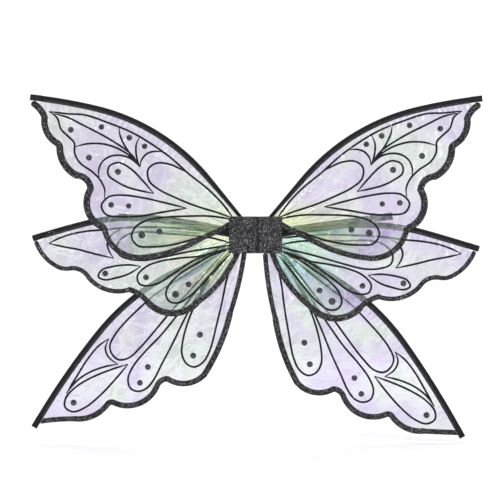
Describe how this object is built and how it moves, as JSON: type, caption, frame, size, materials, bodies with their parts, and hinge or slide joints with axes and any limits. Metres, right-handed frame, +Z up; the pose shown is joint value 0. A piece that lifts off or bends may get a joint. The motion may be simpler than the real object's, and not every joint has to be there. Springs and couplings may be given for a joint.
{
  "type": "fairy wings",
  "caption": "Costume fairy wings: clear iridescent film wings with glitter edges, fanned from a folding glitter back block with elastic shoulder straps.",
  "frame": {"origin": "middle of the block's rear face, which lies against the wearer's back", "axes": "+X to the right seen from behind the wearer, +Z up, +Y out of the rear face towards the wearer's back"},
  "size_m": [0.796, 0.0251, 0.6068],
  "materials": {
    "film": "clear iridescent film, lilac to green, glossy",
    "glitter_ribbon": "black glitter ribbon bonded to the film",
    "glitter_cloth": "black glitter cloth",
    "hem_cloth": "charcoal woven hem tape",
    "welt_cloth": "black stitched welt",
    "pad_felt": "black felt pad",
    "elastic": "dark green woven elastic",
    "rod_black": "black glass-fibre rod",
    "moulded_black": "moulded black plastic",
    "board": "black polypropylene board",
    "rivet_steel": "nickel plated steel",
    "washer_nylon": "natural nylon"
  },
  "bodies": {
    "left_block": {"back_pad_left": "pad_felt", "rear_board_left": "board", "front_board_left": "board", "glitter_cover_left": "glitter_cloth", "spine_left": "board", "fan_rivet_left": "rivet_steel", "rivet_washers_left": "washer_nylon", "strap_eyelet_left": "rivet_steel", "shoulder_strap_left": "elastic", "seam_welt": "welt_cloth"},
    "upper_wing_left": {"upper_clip_left": "moulded_black", "upper_rod_left": "rod_black", "upper_hem_left": "hem_cloth", "upper_film_left": "film", "upper_border_left": "glitter_ribbon", "upper_tip_cap_left": "moulded_black"},
    "middle_wing_left": {"middle_clip_left": "moulded_black", "middle_rod_left": "rod_black", "middle_hem_left": "hem_cloth", "middle_film_left": "film", "middle_border_left": "glitter_ribbon", "middle_tip_cap_left": "moulded_black"},
    "lower_wing_left": {"lower_clip_left": "moulded_black", "lower_rod_left": "rod_black", "lower_hem_left": "hem_cloth", "lower_film_left": "film", "lower_border_left": "glitter_ribbon", "lower_tip_cap_left": "moulded_black"},
    "right_block": {"back_pad_right": "pad_felt", "rear_board_right": "board", "front_board_right": "board", "glitter_cover_right": "glitter_cloth", "spine_right": "board", "fan_rivet_right": "rivet_steel", "rivet_washers_right": "washer_nylon", "strap_eyelet_right": "rivet_steel", "shoulder_strap_right": "elastic"},
    "upper_wing_right": {"upper_clip_right": "moulded_black", "upper_rod_right": "rod_black", "upper_hem_right": "hem_cloth", "upper_film_right": "film", "upper_border_right": "glitter_ribbon", "upper_tip_cap_right": "moulded_black"},
    "middle_wing_right": {"middle_clip_right": "moulded_black", "middle_rod_right": "rod_black", "middle_hem_right": "hem_cloth", "middle_film_right": "film", "middle_border_right": "glitter_ribbon", "middle_tip_cap_right": "moulded_black"},
    "lower_wing_right": {"lower_clip_right": "moulded_black", "lower_rod_right": "rod_black", "lower_hem_right": "hem_cloth", "lower_film_right": "film", "lower_border_right": "glitter_ribbon", "lower_tip_cap_right": "moulded_black"}
  },
  "joints": [
    {"name": "centre_fold", "type": "hinge", "parent": "left_block", "child": "right_block", "pos_m": [0.004, -0.0243, 0], "axis": [0, 0, -1], "range_deg": [0, 170]},
    {"name": "upper_left_fan", "type": "hinge", "parent": "left_block", "child": "upper_wing_left", "pos_m": [-0.018, 0, 0.004], "axis": [0, -1, 0], "range_deg": [-4, 28]},
    {"name": "middle_left_fan", "type": "hinge", "parent": "left_block", "child": "middle_wing_left", "pos_m": [-0.018, 0, 0.004], "axis": [0, -1, 0], "range_deg": [-4, 4]},
    {"name": "lower_left_fan", "type": "hinge", "parent": "left_block", "child": "lower_wing_left", "pos_m": [-0.018, 0, 0.004], "axis": [0, 1, 0], "range_deg": [-4, 28]},
    {"name": "upper_right_fan", "type": "hinge", "parent": "right_block", "child": "upper_wing_right", "pos_m": [0.018, 0, 0.004], "axis": [0, 1, 0], "range_deg": [-4, 28]},
    {"name": "middle_right_fan", "type": "hinge", "parent": "right_block", "child": "middle_wing_right", "pos_m": [0.018, 0, 0.004], "axis": [0, 1, 0], "range_deg": [-4, 4]},
    {"name": "lower_right_fan", "type": "hinge", "parent": "right_block", "child": "lower_wing_right", "pos_m": [0.018, 0, 0.004], "axis": [0, -1, 0], "range_deg": [-4, 28]}
  ]
}
